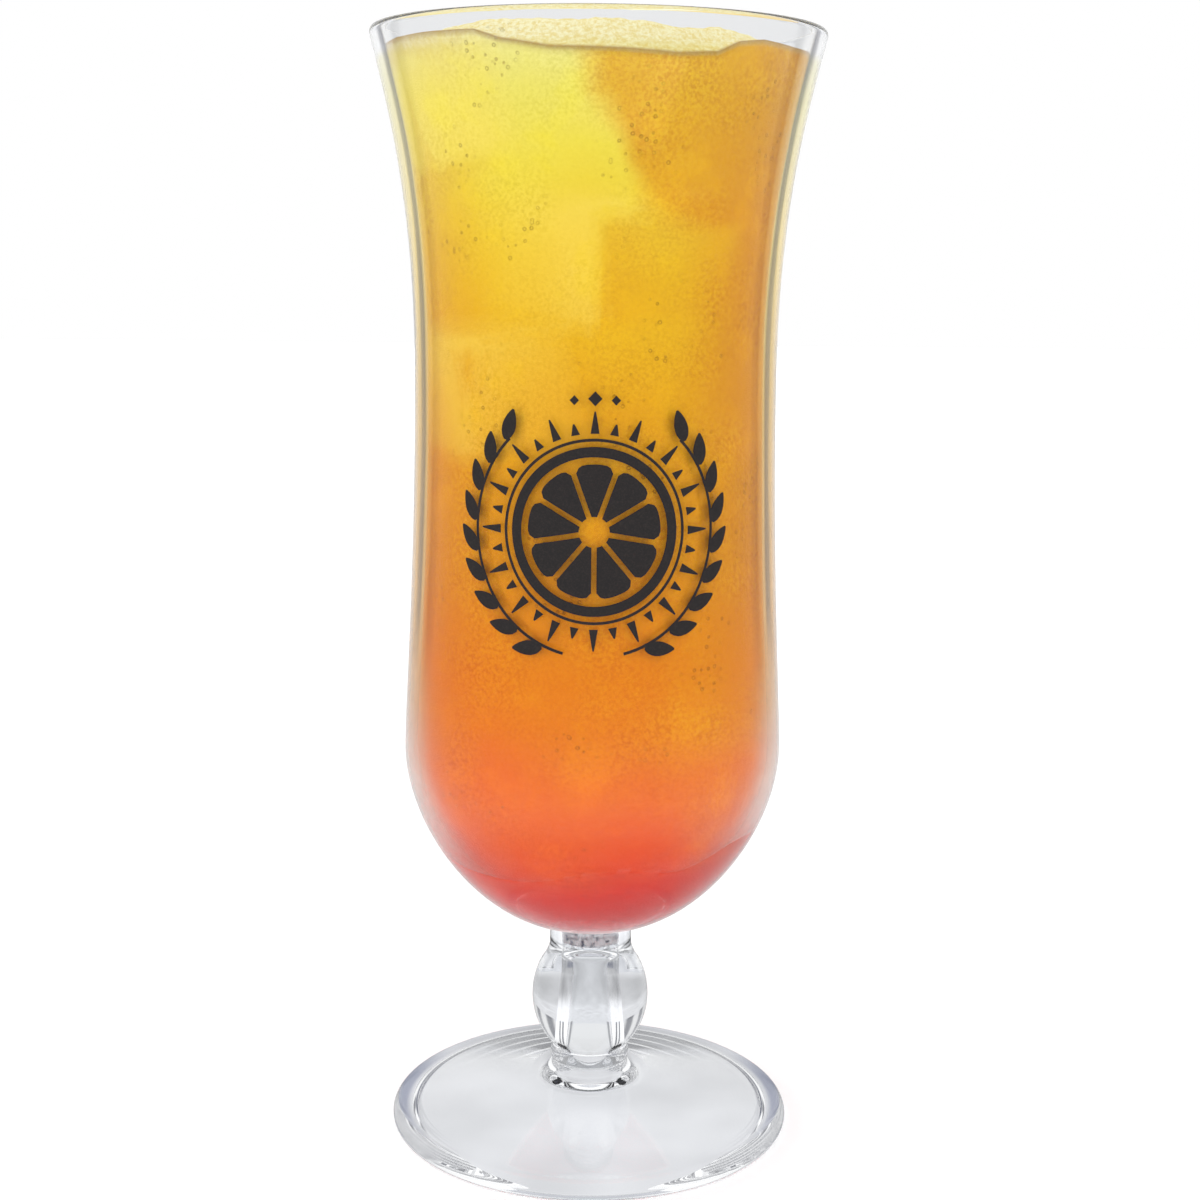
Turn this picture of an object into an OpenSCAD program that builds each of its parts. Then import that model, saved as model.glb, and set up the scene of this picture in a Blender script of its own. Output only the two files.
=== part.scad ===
// Hurricane glass of clear moulded plastic, filled with a two-layer iced drink.
// The glass is two mouldings: a thin flared bowl, and a stem with a ball knob and a wide foot.
// A spigot under the bowl is cemented into a socket in the stem's collar.
// The stem is cored from below and the foot is hollow, so that every wall stays thin.
// The origin is on the table under the axis of the glass, with +Z up and -Y to the front.

/* [Foot] */
// Diameter of the foot at its widest
foot_d = 75.6; // [68:0.2:88]
// Height of the foot's rounded edge above the table
foot_edge_h = 3.4; // [2.8:0.1:4.4]
// Height of the widest line of that edge
foot_edge_belly_h = 1.4; // [0.8:0.1:2]
// Width of the rounding on top of the edge
foot_edge_w = 2.6; // [1.4:0.1:4]
// Width of the rounding under the edge
foot_heel_w = 0.8; // [0.4:0.1:1.6]
// Width of the flat ring that the glass rests on
foot_rest_w = 3.4; // [2:0.1:7]
// Height at which the foot's cone ends and the fillet of the neck starts
foot_cone_h = 9.6; // [8:0.1:10.6]
// Diameter of the circle where that fillet starts
foot_fillet_d = 20; // [17:0.2:26]
// Upright thickness of the foot's web
foot_web_t = 2.9; // [2.2:0.1:3.2]

/* [Stem] */
// Diameter of the neck, just above and just below the bead
neck_d = 13.9; // [13:0.1:14.6]
// Diameter of the bead around the neck
bead_d = 15; // [14.6:0.1:17]
// Height of the bead's middle above the table
bead_z = 12.6; // [12.2:0.1:13]
// Height of the bead from its lower edge to its upper one
bead_h = 2.8; // [2:0.1:3]
// Diameter of the ball knob
knob_d = 22.1; // [18:0.1:26]
// Full height of the ellipse that the knob is cut from
knob_h = 25.2; // [23:0.1:26]
// Height of the knob's middle above the table
knob_z = 24.2; // [23.6:0.1:25]
// Diameter of the collar that carries the bowl
collar_d = 15.5; // [14.6:0.1:18]
// Reach of the fillet between knob and collar
collar_fillet = 1.6; // [0.6:0.1:2.4]
// Height of the collar's top face above the table
stem_h = 38.8; // [38:0.1:44]
// Diameter of the core hole at its mouth
core_d = 8.8; // [7.6:0.1:10]
// Diameter of the core hole where its dome starts
core_top_d = 7.4; // [6:0.1:8.4]
// Height of the dome at the end of the core hole
core_dome_h = 2.6; // [1:0.1:3.6]
// Reach of the flare at the mouth of the core hole
core_flare = 3; // [1:0.1:4]
// Thickness of the web between the core hole and the socket
core_web_t = 1.3; // [1:0.1:2.4]

/* [Joint] */
// Diameter of the spigot under the bowl
spigot_d = 10.6; // [9:0.1:12]
// Length of the spigot
spigot_h = 3.8; // [2.6:0.1:5]
// Bevel at the end of the spigot
spigot_bevel = 0.5; // [0.2:0.1:1]
// Thickness of the cement film between the two mouldings
cement_t = 0.14; // [0.1:0.02:0.3]

/* [Bowl] */
// Height of the bowl from the collar to the rim
bowl_h = 164.2; // [150:0.2:180]
// Outer diameter of the rim
rim_d = 80.6; // [74:0.2:88]
// Lean of the wall at the rim, away from upright
rim_lean = 14; // [8:0.5:20]
// Thickness of the rim just below its rounded lip
rim_t = 2.1; // [1.6:0.1:3]
// Outer diameter of the waist
waist_d = 65.5; // [63:0.1:69]
// Height of the waist above the collar
waist_up = 105.4; // [98:0.2:112]
// Wall thickness at the waist
waist_t = 2.3; // [1.8:0.1:2.8]
// Outer diameter of the belly
belly_d = 70; // [67:0.1:76]
// Height of the belly above the collar
belly_up = 34.8; // [31:0.1:40]
// Wall thickness at the belly
belly_t = 2.3; // [1.8:0.1:2.8]
// Angle at which the bowl leaves the collar, above level
bowl_rise = 10; // [6:0.5:16]
// Thickness of the bowl's floor above the collar's face
floor_t = 1.9; // [1.4:0.1:4]

/* [Drink] */
// Depth of the drink's surface below the rim
fill_drop = 5.7; // [4.8:0.1:12]
// Height of the red syrup that has sunk to the bottom, above the bowl's floor
syrup_h = 13.4; // [8:0.1:20]
// Clearance between the drink and the wall, as a wetted film would leave
wet_gap = 0.12; // [0.06:0.02:0.3]

/* [Ice] */
// Edge length of an ice cube
ice_edge = 19; // [16:0.2:19.8]
// Clearance around an ice cube, to the drink and to the wall
ice_gap = 0.16; // [0.1:0.02:0.4]

/* [Hidden] */
ICE = [for (i = [1 : 8]) str("ice_cube_", i)];
$fn = 96;

// Steps along a long curve, and along a short one
long_steps = 18;
short_steps = 8;

// Radii and heights that the pieces share
foot_r = foot_d / 2;
neck_r = neck_d / 2;
knob_r = knob_d / 2;
collar_r = collar_d / 2;
spigot_r = spigot_d / 2;
socket_r = spigot_r + cement_t;
socket_h = spigot_h + cement_t;
seat_z = stem_h + cement_t;
floor_z = seat_z + floor_t;
rim_z = stem_h + bowl_h;
belly_z = stem_h + belly_up;
waist_z = stem_h + waist_up;
drink_z = rim_z - fill_drop;
syrup_z = floor_z + syrup_h;

// How far each Bezier handle reaches, as a share of the stretch that it shapes
bottom_start_share = 0.58;
bottom_end_share = 0.39;
belly_share = 0.11;
under_waist_share = 0.49;
over_waist_share = 0.49;
rim_share = 0.23;
floor_start_share = 0.5;
floor_end_share = 0.5;

// Ice cubes: the compass angle of each one
ice_compass_angles = [213, 303, 75, 280, 160, 40, 228, 350];
// Depth of each centre under the drink's surface, in cube edges
ice_depth_shares = [0.47, 0.36, 0.66, 1.74, 1.66, 1.95, 2.94, 3.17];
// How far each cube is tipped, leaned and turned about its own axes
ice_tilt_angles = [
    [9, -6, 38],
    [-14, 8, 12],
    [5, 4, 30],
    [7, 10, 24],
    [-8, 12, 50],
    [10, -7, 5],
    [12, 9, 40],
    [-9, 6, 20]
];
// Radius of the ball that rounds a cube's corners, in cube edges
ice_ball_share = 0.71;
ice_reach = ice_edge * ice_ball_share;

// Point on a quadratic curve, and points along one
function quad_point(a, b, c, t) = (1 - t) * (1 - t) * a + 2 * (1 - t) * t * b + t * t * c;
function quad_curve(a, b, c, steps) = [for (i = [0 : steps]) quad_point(a, b, c, i / steps)];

// Point on a cubic curve, and points along one
function cubic_point(a, b, c, d, t) =
    pow(1 - t, 3) * a + 3 * pow(1 - t, 2) * t * b + 3 * (1 - t) * t * t * c + pow(t, 3) * d;
function cubic_curve(a, b, c, d, steps) = [for (i = [0 : steps]) cubic_point(a, b, c, d, i / steps)];

// Points along an ellipse's arc, from one angle to another
function ellipse_arc(centre, half_w, half_h, from, to, steps) = [
    for (i = [0 : steps])
        let (angle = from + (to - from) * i / steps)
        centre + [half_w * cos(angle), half_h * sin(angle)]
];

// A list without its first point, for joining it to the list before
function after_first(points) = [for (i = [1 : len(points) - 1]) points[i]];

// The three outer curves of the bowl, upwards from the collar: bottom, flank and flare
bottom_span = belly_d / 2 - collar_r;
outer_bottom = cubic_curve(
    [collar_r, seat_z],
    [collar_r, seat_z] + bottom_start_share * bottom_span * [cos(bowl_rise), sin(bowl_rise)],
    [belly_d / 2, belly_z - bottom_end_share * belly_up],
    [belly_d / 2, belly_z],
    long_steps
);

// A wall's flank, offset inwards at the belly and the waist, and its flare up to a point of the lip
function flank(in_belly, in_waist) =
    let (span = waist_z - belly_z, low = belly_d / 2 - in_belly, high = waist_d / 2 - in_waist)
    cubic_curve(
        [low, belly_z],
        [low, belly_z + belly_share * span],
        [high, waist_z - under_waist_share * span],
        [high, waist_z],
        long_steps
    );
function flare(in_waist, top) =
    let (low = waist_d / 2 - in_waist, span = top[1] - waist_z)
    cubic_curve(
        [low, waist_z],
        [low, waist_z + over_waist_share * span],
        top - rim_share * span * [tan(rim_lean), 1],
        top,
        long_steps
    );

// The lip is a half round that leans with the wall
lip_r = rim_t / 2;
lip_centre = [rim_d / 2 - lip_r, rim_z - lip_r];
lip_turn = 180;
lip = ellipse_arc(lip_centre, lip_r, lip_r, -rim_lean, lip_turn - rim_lean, short_steps);
outer_flank = flank(0, 0);
outer_flare = flare(0, lip[0]);
inner_flank = flank(belly_t, waist_t);
inner_flare = flare(waist_t, lip[short_steps]);

// The inner bottom curve starts level on the axis and ends upright at the belly
inner_belly_r = belly_d / 2 - belly_t;
inner_bottom = cubic_curve(
    [0, floor_z],
    [floor_start_share * inner_belly_r, floor_z],
    [inner_belly_r, belly_z - floor_end_share * (belly_z - floor_z)],
    [inner_belly_r, belly_z],
    long_steps
);
inner_wall = concat(inner_bottom, after_first(inner_flank), after_first(inner_flare));

// Radius of the inner wall at a height
inner_table = [for (p = inner_wall) [p[1], p[0]]];
function inner_r(z) = lookup(z, inner_table);

// A list of points in the opposite order
function backwards(points) = [for (i = [len(points) - 1 : -1 : 0]) points[i]];

// Half height of the knob's ellipse, and the part of it above or below the middle at a radius
knob_half = knob_h / 2;
function knob_rise(r) = knob_half * sqrt(1 - pow(r / knob_r, 2));
function knob_angle(r) = acos(r / knob_r);

// Half section of the bowl: spigot, seat, outer wall, lip and inner wall
module bowl_section() {
    polygon(concat(
        [
            [0, seat_z - spigot_h],
            [spigot_r - spigot_bevel, seat_z - spigot_h],
            [spigot_r, seat_z - spigot_h + spigot_bevel],
            [spigot_r, seat_z]
        ],
        outer_bottom,
        after_first(outer_flank),
        after_first(outer_flare),
        after_first(lip),
        after_first(backwards(inner_wall))
    ));
}

// Top of the foot: rounded edge, shallow cone and the fillet up to the neck
cone_start_r = foot_r - foot_edge_w;
bead_low_z = bead_z - bead_h / 2;
bead_high_z = bead_z + bead_h / 2;
foot_top = concat(
    ellipse_arc([foot_r - foot_heel_w, foot_edge_belly_h], foot_heel_w, foot_edge_belly_h, -90, 0, short_steps),
    after_first(ellipse_arc(
        [cone_start_r, foot_edge_belly_h], foot_edge_w, foot_edge_h - foot_edge_belly_h, 0, 90, short_steps
    )),
    quad_curve([foot_fillet_d / 2, foot_cone_h], [neck_r, foot_cone_h + (bead_low_z - foot_cone_h) / 2],
        [neck_r, bead_low_z], short_steps)
);

// The bead and the knob, upwards from the neck
bead = ellipse_arc([neck_r, bead_z], bead_d / 2 - neck_r, bead_h / 2, -90, 90, short_steps);
knob_low_r = max(neck_r, knob_r * sqrt(1 - pow(min(1, (knob_z - bead_high_z) / knob_half), 2)));
fillet_low_r = collar_r + collar_fillet;
knob = ellipse_arc([0, knob_z], knob_r, knob_half, -knob_angle(knob_low_r), knob_angle(fillet_low_r), 2 * long_steps);
collar_low_z = knob_z + knob_rise(collar_r);
collar = quad_curve([fillet_low_r, knob_z + knob_rise(fillet_low_r)], [collar_r, collar_low_z],
    [collar_r, collar_low_z + collar_fillet], short_steps);

// The socket in the collar, then the core hole and the hollow under the foot
socket_floor_z = stem_h - socket_h;
core_top_z = socket_floor_z - core_web_t;
core_top_r = core_top_d / 2;
hollow_r = foot_r - foot_heel_w - foot_rest_w;
hollow_top_z = foot_cone_h - foot_web_t;
cone_slope = (foot_cone_h - foot_edge_h) / (cone_start_r - foot_fillet_d / 2);
hollow_edge_z = foot_edge_h + (cone_start_r - hollow_r) * cone_slope - foot_web_t;
core_mouth_r = core_d / 2;
core_mouth_z = hollow_top_z + core_flare;
underside = concat(
    [[0, core_top_z]],
    after_first(backwards(ellipse_arc([0, core_top_z - core_dome_h], core_top_r, core_dome_h, 0, 90, short_steps))),
    quad_curve([core_mouth_r, core_mouth_z], [core_mouth_r, hollow_top_z],
        [core_mouth_r + core_flare, hollow_top_z], short_steps),
    [[foot_fillet_d / 2, hollow_top_z], [hollow_r - hollow_edge_z, hollow_edge_z], [hollow_r, 0]]
);

// Half section of the stem and foot
module stem_section() {
    polygon(concat(
        underside,
        foot_top,
        after_first(bead),
        knob,
        after_first(collar),
        [[collar_r, stem_h], [socket_r, stem_h], [socket_r, socket_floor_z], [0, socket_floor_z]]
    ));
}

// Thin-walled clear bowl
module bowl() {
    color("lightcyan", 0.35)
        rotate_extrude()
            bowl_section();
}

// Clear stem with its knob, on the hollow foot
module stem_and_foot() {
    color("lightsteelblue", 0.45)
        rotate_extrude()
            stem_section();
}

// Film of cement around the spigot and across the collar's face
module joint_cement() {
    color("slategray")
        rotate_extrude()
            polygon([
                [spigot_r, stem_h - spigot_h + spigot_bevel],
                [socket_r, stem_h - spigot_h + spigot_bevel],
                [socket_r, stem_h],
                [collar_r, stem_h],
                [collar_r, seat_z],
                [spigot_r, seat_z]
            ]);
}

// Radius of the ring that a cube's centre lies on, so that the cube clears the wall
function ice_ring_r(z) = inner_r(z) - ice_reach - wet_gap - 2 * ice_gap;

// A cube of ice with melted corners, grown by a clearance on every side
module ice_block(grow) {
    intersection() {
        cube(ice_edge + 2 * grow, center = true);
        sphere(r = ice_reach + grow);
    }
}

// A cube of ice in its place in the drink
module placed_ice(index, grow) {
    centre_z = drink_z - ice_depth_shares[index] * ice_edge;
    rotate([0, 0, ice_compass_angles[index]])
        translate([ice_ring_r(centre_z), 0, centre_z])
            rotate(ice_tilt_angles[index])
                ice_block(grow);
}

// Liquid between two heights, a wetted film clear of the wall, with room for the ice
module liquid(low_z, high_z) {
    heights = concat([low_z], [for (p = inner_wall) if (p[1] > low_z && p[1] < high_z) p[1]], [high_z]);
    rotate_extrude()
        polygon(concat(
            [[0, low_z]],
            [for (z = heights) [inner_r(z) - wet_gap, z]],
            [[0, high_z]]
        ));
}

// Orange juice, from the top of the syrup to the surface
module juice() {
    color("orange", 0.8)
        difference() {
            liquid(syrup_z, drink_z);
            for (index = [0 : len(ICE) - 1])
                placed_ice(index, ice_gap);
        }
}

// Red syrup in the round bottom of the bowl
module syrup() {
    color("crimson", 0.8)
        liquid(floor_z + wet_gap, syrup_z);
}

// One ice cube
module ice_cube(index) {
    color("white", 0.7)
        placed_ice(index, 0);
}

bowl();
stem_and_foot();
joint_cement();
juice();
syrup();
for (index = [0 : len(ICE) - 1])
    ice_cube(index);
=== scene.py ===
import math
import random

import bmesh
import bpy
import numpy as np
from mathutils import Euler, Matrix, Quaternion, Vector, noise


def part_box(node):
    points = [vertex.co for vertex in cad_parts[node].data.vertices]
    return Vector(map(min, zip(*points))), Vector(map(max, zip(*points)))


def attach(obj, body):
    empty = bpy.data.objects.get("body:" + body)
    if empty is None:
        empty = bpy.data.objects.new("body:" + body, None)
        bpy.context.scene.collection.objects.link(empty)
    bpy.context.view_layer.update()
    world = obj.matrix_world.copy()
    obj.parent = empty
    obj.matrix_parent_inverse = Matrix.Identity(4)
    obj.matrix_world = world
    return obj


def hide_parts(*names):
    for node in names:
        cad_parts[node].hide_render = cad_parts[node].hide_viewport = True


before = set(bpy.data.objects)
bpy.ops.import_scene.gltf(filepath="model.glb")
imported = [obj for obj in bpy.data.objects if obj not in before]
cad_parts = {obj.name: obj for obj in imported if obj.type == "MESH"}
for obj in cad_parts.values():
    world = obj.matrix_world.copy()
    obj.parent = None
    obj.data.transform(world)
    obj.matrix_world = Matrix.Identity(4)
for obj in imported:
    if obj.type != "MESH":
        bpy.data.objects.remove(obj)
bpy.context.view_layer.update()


# Bowl
# One clear injection moulding of food-safe plastic: a thin flared wall with a rolled lip, a round bottom
# and a short spigot underneath, which is cemented into the stem.
mm = 0.001
stem_top_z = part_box("stem_and_foot")[1].z
rim_top_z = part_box("bowl")[1].z
cement = 0.14 * mm
seat_z = stem_top_z + cement
collar_r = 15.5 / 2 * mm
spigot_r = 10.6 / 2 * mm
spigot_h = 3.8 * mm
spigot_bevel = 0.5 * mm
rim_r = 80.6 / 2 * mm
rim_lean = math.radians(14)
lip_r = 2.1 / 2 * mm
waist_r = 65.5 / 2 * mm
waist_z = stem_top_z + 105.4 * mm
belly_r = 70 / 2 * mm
belly_up = 34.8 * mm
belly_z = stem_top_z + belly_up
wall_t = 2.3 * mm
bowl_rise = math.radians(10)
floor_z = seat_z + 1.9 * mm
bottom_start_share = 0.58
bottom_end_share = 0.39
belly_share = 0.11
under_waist_share = 0.49
over_waist_share = 0.49
rim_share = 0.23
floor_share = 0.5
curve_steps = 52
lip_steps = 24
around_moulding = 288
crease = math.radians(32)
fill_drop = 5.7 * mm
drink_z = rim_top_z - fill_drop


def cubic(a, b, c, d, steps):
    """Points along a cubic curve."""
    t = np.linspace(0, 1, steps + 1)[:, None]
    a, b, c, d = (np.array(p, float) for p in (a, b, c, d))
    return (1 - t) ** 3 * a + 3 * (1 - t) ** 2 * t * b + 3 * (1 - t) * t**2 * c + t**3 * d


def arc(centre, half_w, half_h, start, end, steps):
    """Points along an ellipse's arc, between two angles in degrees."""
    t = np.radians(np.linspace(start, end, steps + 1))
    return np.stack([centre[0] + half_w * np.cos(t), centre[1] + half_h * np.sin(t)], 1)


def joined(*stretches):
    """One outline from stretches whose ends meet."""
    points = [np.array(s, float).reshape(-1, 2) for s in stretches]
    line = [points[0]]
    for before, after in zip(points, points[1:]):
        line.append(after[1:] if np.allclose(after[0], before[-1]) else after)
    return np.vstack(line)


def bowl_flank(in_belly, in_waist):
    """The wall from belly to waist, moved inwards at each end."""
    span = waist_z - belly_z
    low, high = belly_r - in_belly, waist_r - in_waist
    return cubic(
        (low, belly_z),
        (low, belly_z + belly_share * span),
        (high, waist_z - under_waist_share * span),
        (high, waist_z),
        curve_steps,
    )


def bowl_flare(in_waist, top):
    """The wall from the waist up to a point of the lip."""
    low = waist_r - in_waist
    span = top[1] - waist_z
    lean = top - rim_share * span * np.array([math.tan(rim_lean), 1])
    return cubic((low, waist_z), (low, waist_z + over_waist_share * span), lean, top, curve_steps)


lean_degrees = math.degrees(rim_lean)
lip_centre = (rim_r - lip_r, rim_top_z - lip_r)
lip = arc(lip_centre, lip_r, lip_r, -lean_degrees, 180 - lean_degrees, lip_steps)
start_reach = bottom_start_share * (belly_r - collar_r)
outer_bottom = cubic(
    (collar_r, seat_z),
    (collar_r + start_reach * math.cos(bowl_rise), seat_z + start_reach * math.sin(bowl_rise)),
    (belly_r, belly_z - bottom_end_share * belly_up),
    (belly_r, belly_z),
    curve_steps,
)
inner_belly_r = belly_r - wall_t
inner_bottom = cubic(
    (0, floor_z),
    (floor_share * inner_belly_r, floor_z),
    (inner_belly_r, belly_z - floor_share * (belly_z - floor_z)),
    (inner_belly_r, belly_z),
    curve_steps,
)
inner_wall = joined(inner_bottom, bowl_flank(wall_t, wall_t), bowl_flare(wall_t, lip[-1]))
bowl_outer = joined(outer_bottom, bowl_flank(0, 0), bowl_flare(0, lip[0]))
bowl_spigot = [
    (0, seat_z - spigot_h),
    (spigot_r - spigot_bevel, seat_z - spigot_h),
    (spigot_r, seat_z - spigot_h + spigot_bevel),
    (spigot_r, seat_z),
    (collar_r, seat_z),
]


def inner_r(z):
    """Radius of the bowl's inner wall at a height."""
    return float(np.interp(z, inner_wall[:, 1], inner_wall[:, 0]))


def turned(name, outline, around):
    """A closed mesh turned about the Z axis from a half outline that starts and ends on the axis."""
    bm = bmesh.new()
    angles = [2 * math.pi * i / around for i in range(around)]
    rings = []
    for r, z in outline:
        if r < 1e-7:
            rings.append([bm.verts.new((0, 0, z))])
        else:
            rings.append([bm.verts.new((r * math.cos(a), r * math.sin(a), z)) for a in angles])
    for low, high in zip(rings, rings[1:]):
        for i in range(around):
            j = (i + 1) % around
            corners = [low[i % len(low)], low[j % len(low)], high[j % len(high)], high[i % len(high)]]
            bm.faces.new(list(dict.fromkeys(corners)))
    bmesh.ops.recalc_face_normals(bm, faces=bm.faces)
    for face in bm.faces:
        face.smooth = True
    for edge in bm.edges:
        edge.smooth = len(edge.link_faces) < 2 or edge.calc_face_angle(0) < crease
    mesh = bpy.data.meshes.new(name)
    bm.to_mesh(mesh)
    bm.free()
    piece = bpy.data.objects.new(name, mesh)
    bpy.context.scene.collection.objects.link(piece)
    return piece


class Recipe:
    """Builds one material's nodes, each from its settings and the sockets or values that feed it."""

    def __init__(self, name, tree=None):
        if tree is None:
            self.material = bpy.data.materials.new(name)
            self.material.use_nodes = True
            tree = self.material.node_tree
        self.tree = tree
        self.tree.nodes.clear()

    def add(self, kind, inputs=None, **settings):
        node = self.tree.nodes.new(kind)
        for key, value in settings.items():
            setattr(node, key, value)
        for key, value in (inputs or {}).items():
            socket = node.inputs[key]
            if isinstance(value, bpy.types.NodeSocket):
                self.tree.links.new(value, socket)
            else:
                socket.default_value = value
        return node

    def place(self):
        """The place on the piece, in metres."""
        return self.add("ShaderNodeTexCoord").outputs["Object"]

    def height(self):
        return self.add("ShaderNodeSeparateXYZ", {0: self.place()}).outputs["Z"]

    def maths(self, operation, a, b=0.0, clamp=False):
        return self.add("ShaderNodeMath", {0: a, 1: b}, operation=operation, use_clamp=clamp).outputs[0]

    def span(self, value, start, end, low=0.0, high=1.0, smooth=False):
        kind = "SMOOTHSTEP" if smooth else "LINEAR"
        inputs = {"Value": value, "From Min": start, "From Max": end, "To Min": low, "To Max": high}
        return self.add("ShaderNodeMapRange", inputs, interpolation_type=kind).outputs["Result"]

    def cloud(self, size, detail=2.0, rough=0.5, stretch=(1, 1, 1), kind="Fac"):
        """Noise whose lumps are about size metres across."""
        place = self.add("ShaderNodeMapping", {"Vector": self.place(), "Scale": stretch}).outputs[0]
        inputs = {"Vector": place, "Scale": 1 / size, "Detail": detail, "Roughness": rough}
        return self.add("ShaderNodeTexNoise", inputs).outputs[kind]

    def ramp(self, value, stops, smooth=False):
        node = self.add("ShaderNodeValToRGB", {"Fac": value})
        band = node.color_ramp
        band.interpolation = "EASE" if smooth else "LINEAR"
        while len(band.elements) < len(stops):
            band.elements.new(0.5)
        for element, (at, colour) in zip(band.elements, stops):
            element.position = at
            element.color = (*colour, 1) if isinstance(colour, tuple) else (colour, colour, colour, 1)
        return node.outputs["Color"]

    def blend(self, share, a, b, mode="MIX"):
        node = self.add("ShaderNodeMix", {0: share}, data_type="RGBA", blend_type=mode)
        for socket, value in ((node.inputs[6], a), (node.inputs[7], b)):
            if isinstance(value, bpy.types.NodeSocket):
                self.tree.links.new(value, socket)
            else:
                socket.default_value = (*value, 1)
        return node.outputs[2]

    def bump(self, height, distance, strength=1.0, normal=None):
        inputs = {"Height": height, "Distance": distance, "Strength": strength}
        if normal is not None:
            inputs["Normal"] = normal
        return self.add("ShaderNodeBump", inputs).outputs[0]

    def finish(self, **inputs):
        """The surface itself, with the given inputs of the Principled shader."""
        named = {key.replace("_", " "): value for key, value in inputs.items()}
        shader = self.add("ShaderNodeBsdfPrincipled", named)
        self.add("ShaderNodeOutputMaterial", {"Surface": shader.outputs[0]})
        return self.material


def srgb(r, g, b):
    """A colour given as 0 to 255 screen values."""
    return tuple((v / 255 / 12.92) if v <= 10 else ((v / 255 + 0.055) / 1.055) ** 2.4 for v in (r, g, b))


def dressed(piece, material, slot, *nodes):
    """Gives a piece its finish, hides the nodes it stands for and fixes it to the part; slot is not used."""
    piece.data.materials.clear()
    piece.data.materials.append(material)
    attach(piece, "root")
    if nodes:
        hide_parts(*nodes)
    return piece


def met_late(r, most):
    """1 where the eye meets a piece only past more than so many faces of clear plastic, and 0 for light."""
    path = r.add("ShaderNodeLightPath").outputs
    late = r.maths("SUBTRACT", path["Transmission Depth"], float(most), clamp=True)
    return r.maths("MULTIPLY", late, r.maths("SUBTRACT", 1.0, path["Diffuse Depth"], clamp=True))


def mark(piece, name, values):
    """Stores a value for each point of a piece, for its finish."""
    stored = piece.data.attributes.new(name, "FLOAT", "POINT")
    stored.data.foreach_set("value", np.asarray(values, np.float32))


def marked(r, name):
    """The value that mark stored."""
    return r.add("ShaderNodeAttribute", attribute_name=name).outputs["Fac"]


def beaded_wet(r):
    """How rough the wall's inside is: fine beads of drink blur what is seen at a slant low in the bowl."""
    inner = r.maths("SUBTRACT", 1.0, marked(r, "outer_skin"))
    in_bowl = r.maths("GREATER_THAN", r.height(), floor_z - 0.5 * mm)
    beads = r.span(r.height(), beads_full_z, beads_end_z, beads_rough, 0.0, True)
    beads = r.maths("MULTIPLY", beads, in_bowl)
    facing = r.add("ShaderNodeLayerWeight", {"Blend": 0.5}).outputs["Facing"]
    slant = r.span(facing, slant_start, slant_full, 0, 1, True)
    return r.maths("MULTIPLY", slant, r.maths("MULTIPLY", beads, inner))


def moulded_plastic(name, glow):
    """Clear moulded plastic with faint flow waves and fine rubbing marks, with the drink's colour painted
    into it by height as a glow where the drink is behind it.
    """
    r = Recipe(name)
    waves = r.cloud(16 * mm, 1.5, 0.4, (1, 1, 0.5))
    marks = r.cloud(0.9 * mm, 3.0, 0.6, (1, 1, 0.15))
    rubbing = r.span(r.cloud(11 * mm, 3.0), 0.52, 0.72)
    rough = r.maths("MULTIPLY", rubbing, r.span(marks, 0.5, 0.75, 0.0, 0.07))
    colour = (0.97, 0.98, 0.99, 1)
    if glow:
        rough = r.maths("MAXIMUM", rough, beaded_wet(r))
        # Painted glow: the drink's colour by height, painted into the outer skin's colour below the drink's
        # top.
        painted_glow = r.ramp(r.span(r.height(), seat_z, drink_z), glow)
        below = r.span(r.height(), drink_z - 0.6 * mm, drink_z + 1.2 * mm, 1.0, 0.0, True)
        first = r.maths("SUBTRACT", 1.0, met_late(r, 1))
        glow_share = r.maths("MULTIPLY", first, r.maths("MULTIPLY", below, marked(r, "outer_skin")))
        colour = r.blend(glow_share, colour[:3], painted_glow)
    return r.finish(
        Base_Color=colour,
        Roughness=rough,
        Normal=r.bump(waves, 0.05 * mm),
        IOR=1.5,
        Transmission_Weight=1.0,
        Sheen_Weight=0.65 if glow else 0.0,
        Sheen_Roughness=0.35,
    )


def up_the_bowl(height):
    """A height in millimetres as a share of the way from the collar to the drink's surface."""
    return (height * mm - seat_z) / (drink_z - seat_z)


beads_full_z = 76 * mm
beads_end_z = 112 * mm
beads_rough = 0.24
slant_start = 0.15
slant_full = 0.25
# Painted glow of the drink in the clear bowl plastic, by height, palest just above the red bottom.
drink_glow = [
    (up_the_bowl(41), srgb(234, 120, 106)),
    (up_the_bowl(48), srgb(240, 188, 172)),
    (up_the_bowl(54), srgb(246, 220, 206)),
    (up_the_bowl(62), srgb(248, 232, 220)),
    (up_the_bowl(70), srgb(249, 236, 222)),
    (up_the_bowl(76), srgb(244, 220, 196)),
    (up_the_bowl(84), srgb(236, 196, 138)),
    (up_the_bowl(92), srgb(230, 177, 105)),
    (up_the_bowl(112), srgb(230, 181, 105)),
    (up_the_bowl(140), srgb(234, 193, 103)),
    (up_the_bowl(165), srgb(240, 213, 126)),
    (up_the_bowl(190), srgb(240, 232, 172)),
    (up_the_bowl(197), srgb(244, 240, 206)),
]
bowl = turned("bowl_moulding", joined(bowl_spigot, bowl_outer, lip, inner_wall[::-1]), around_moulding)
half_wall = 1.2 * mm
outer_skin = [float(v.co.xy.length > inner_r(v.co.z) + half_wall) for v in bowl.data.vertices]
mark(bowl, "outer_skin", outer_skin)
dressed(bowl, moulded_plastic("clear bowl plastic", drink_glow), "clear_plastic", "bowl")


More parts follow.
